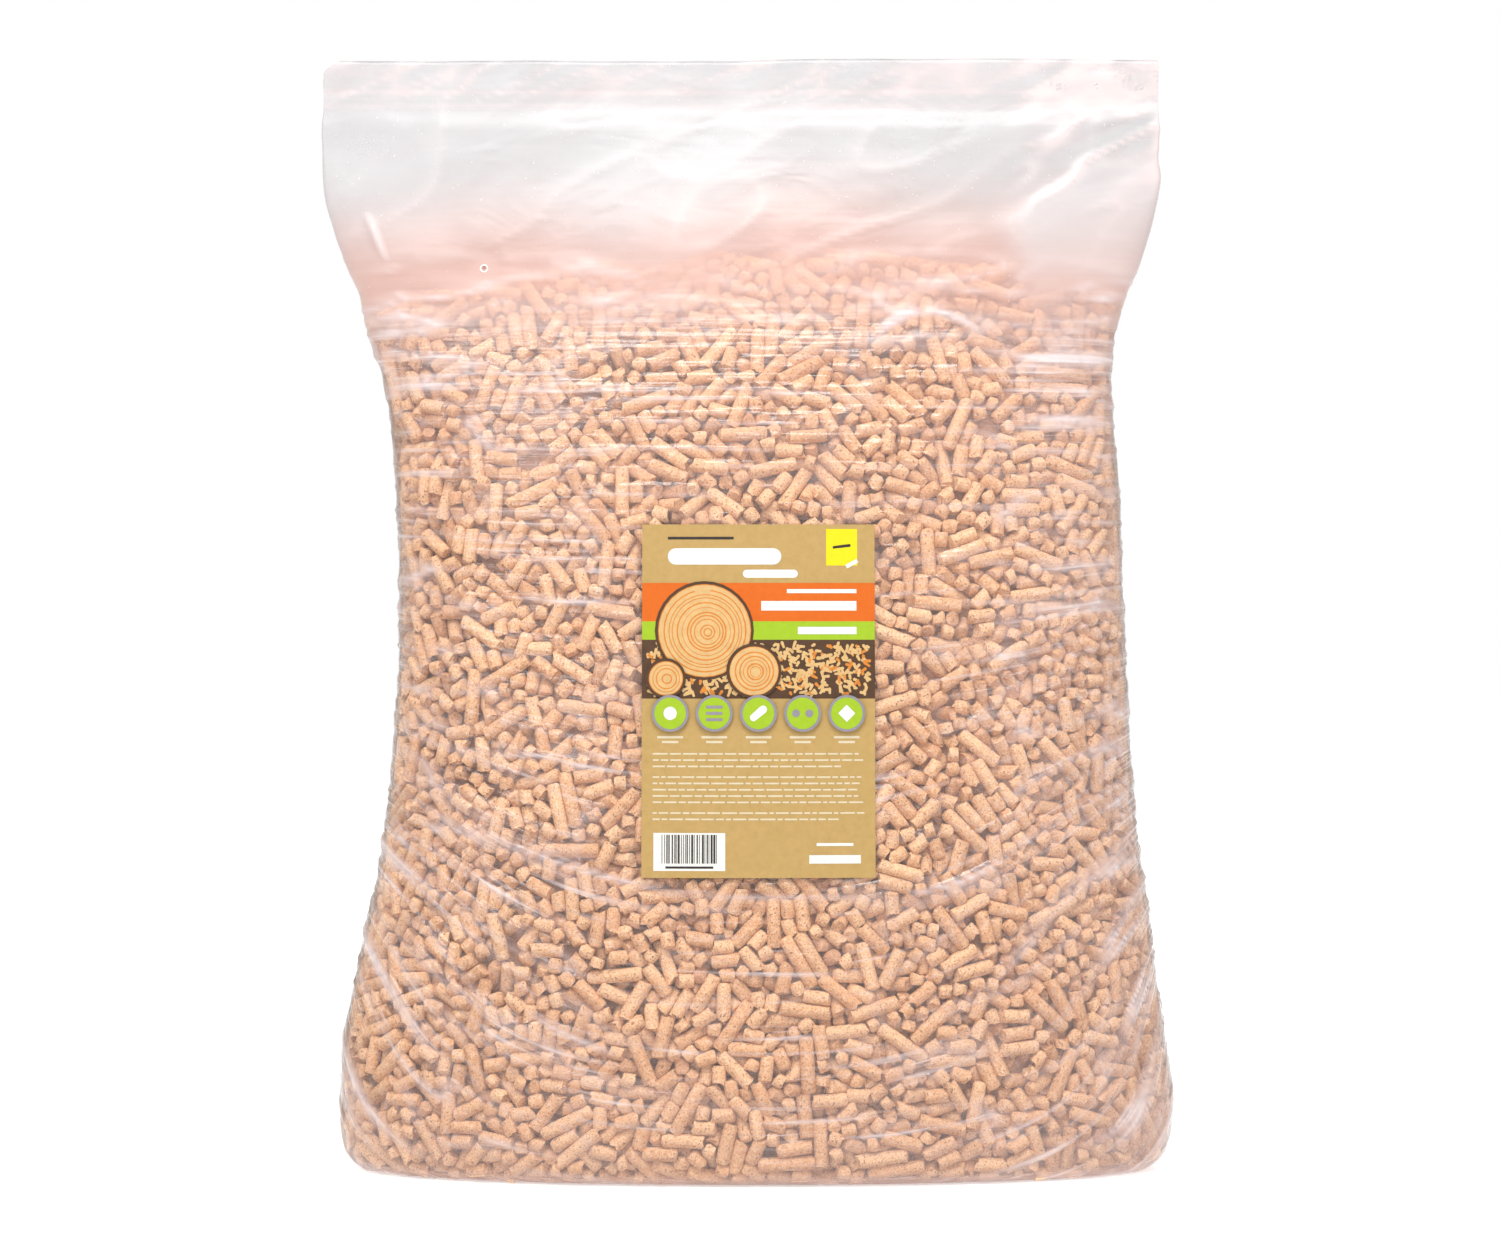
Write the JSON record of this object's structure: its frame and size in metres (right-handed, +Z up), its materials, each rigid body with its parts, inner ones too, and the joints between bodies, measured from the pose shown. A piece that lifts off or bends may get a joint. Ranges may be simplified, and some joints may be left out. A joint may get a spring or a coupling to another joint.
{
  "type": "cat litter bag",
  "caption": "Filled and welded clear film bag of wood-pellet cat litter with a paper label on its front, standing on its flattened base.",
  "frame": {"origin": "under the middle of the bag, in the plane that its flattened base stands on", "axes": "+Z up from the base to the welded mouth, -Y out of the front with the label, +X to the right as seen from the front"},
  "size_m": [0.4783, 0.1682, 0.625],
  "materials": {
    "clear_film": "clear, slightly hazy polyethylene film with creases",
    "wood_pellet": "matt pressed softwood sawdust, loose pellets",
    "label_paper": "kraft-coloured printed paper label with a satin surface"
  },
  "bodies": {
    "root": {"film_bag": "clear_film", "pellet_fill": "wood_pellet", "front_label": "label_paper"}
  },
  "joints": []
}
